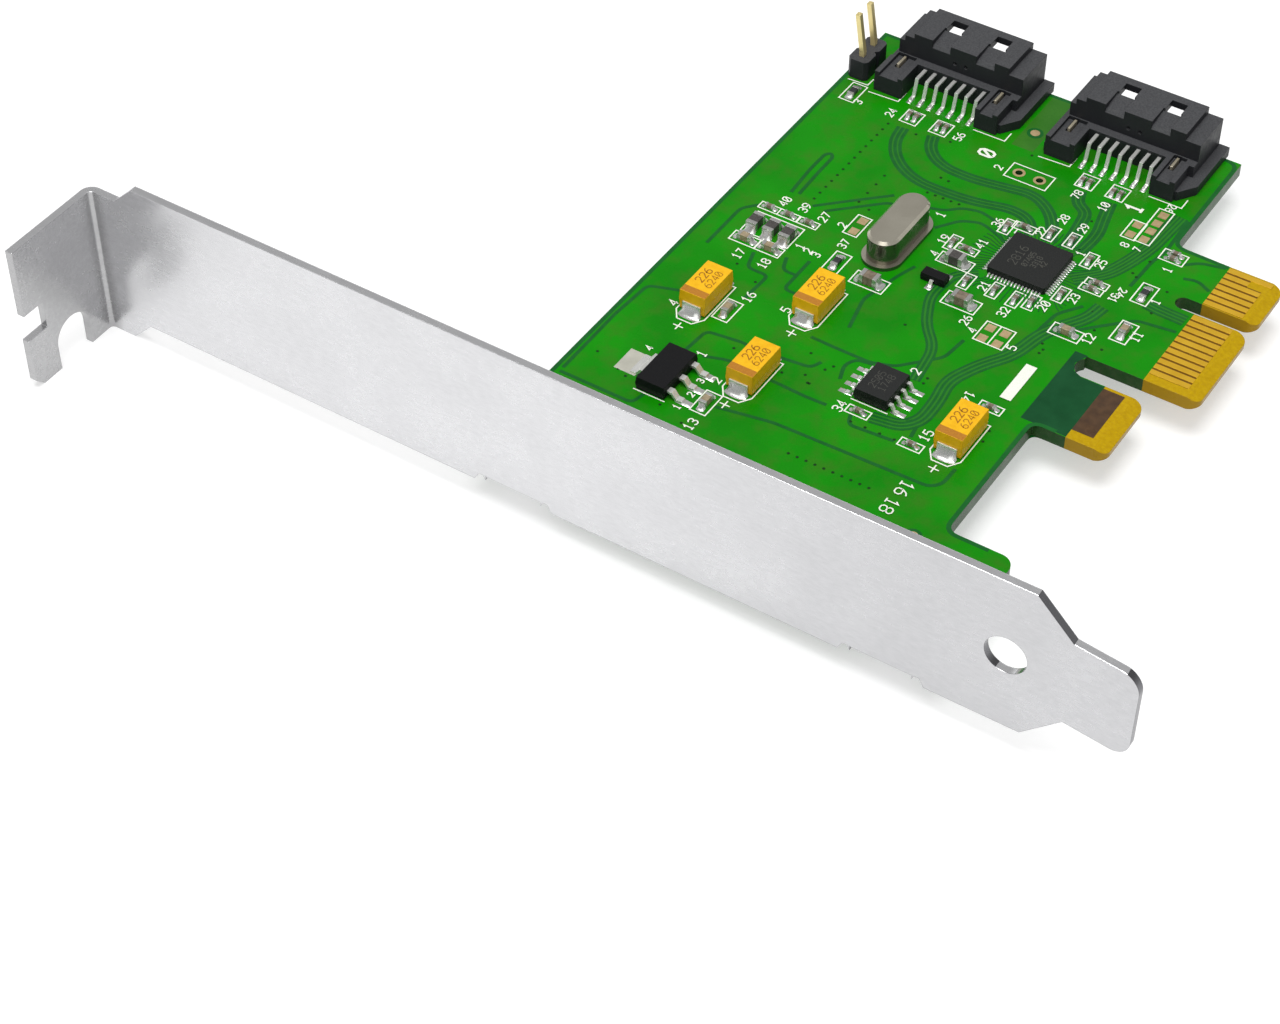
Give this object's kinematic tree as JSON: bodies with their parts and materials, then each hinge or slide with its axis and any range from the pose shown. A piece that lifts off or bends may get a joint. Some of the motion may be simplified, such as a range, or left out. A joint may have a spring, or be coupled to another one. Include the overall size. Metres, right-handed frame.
{
  "type": "raid controller card",
  "caption": "Green drive controller card with side-entry sockets at its far end, a keyed gold contact edge and a folded full-height metal slot bracket screwed across its near end.",
  "frame": {"origin": "on the card's contact edge, at the middle of the key notch and of the board's thickness", "axes": "+X out of the contact edge, the way the card is pushed into its slot; +Y from the bracket towards the drive sockets at the far end; +Z out of the board's component face"},
  "size_m": [0.1209, 0.0975, 0.0209],
  "materials": {
    "solder_mask": "glossy green coating over woven glass board",
    "gold": "gold plating",
    "bare_pad": "bare plated copper",
    "zinc_sheet": "satin zinc plating with a faint cloudy mottle",
    "screw_steel": "bright plated steel",
    "black_plastic": "fine satin moulding",
    "tin": "bright tin",
    "crystal_steel": "satin nickel plated steel",
    "chip_black": "matt moulding compound",
    "tantalum_yellow": "smooth moulding",
    "ceramic_tan": "fired ceramic",
    "ferrite_dark": "fired ferrite",
    "resistor_black": "glazed film"
  },
  "bodies": {
    "root": {"board": "solder_mask", "edge_contacts": "gold", "bare_pads": "bare_pad", "bracket": "zinc_sheet", "bracket_screws": "screw_steel", "port_0_housing": "black_plastic", "port_0_terminals": "tin", "port_0_clips": "tin", "port_1_housing": "black_plastic", "port_1_terminals": "tin", "port_1_clips": "tin", "header_base": "black_plastic", "header_pins": "gold", "crystal_base": "crystal_steel", "crystal_can": "crystal_steel", "crystal_leads": "tin", "controller_body": "chip_black", "controller_leads": "tin", "memory_body": "chip_black", "memory_leads": "tin", "regulator_body": "chip_black", "regulator_leads": "tin", "transistor_body": "chip_black", "transistor_leads": "tin", "small_capacitor_bodies": "ceramic_tan", "small_capacitor_ends": "tin", "medium_capacitor_bodies": "ceramic_tan", "medium_capacitor_ends": "tin", "large_capacitor_bodies": "ceramic_tan", "large_capacitor_ends": "tin", "inductor_bodies": "ferrite_dark", "inductor_ends": "tin", "resistor_bodies": "resistor_black", "resistor_ends": "tin", "tantalum_1_body": "tantalum_yellow", "tantalum_1_terminals": "tin", "tantalum_2_body": "tantalum_yellow", "tantalum_2_terminals": "tin", "tantalum_3_body": "tantalum_yellow", "tantalum_3_terminals": "tin", "tantalum_4_body": "tantalum_yellow", "tantalum_4_terminals": "tin"}
  },
  "joints": []
}
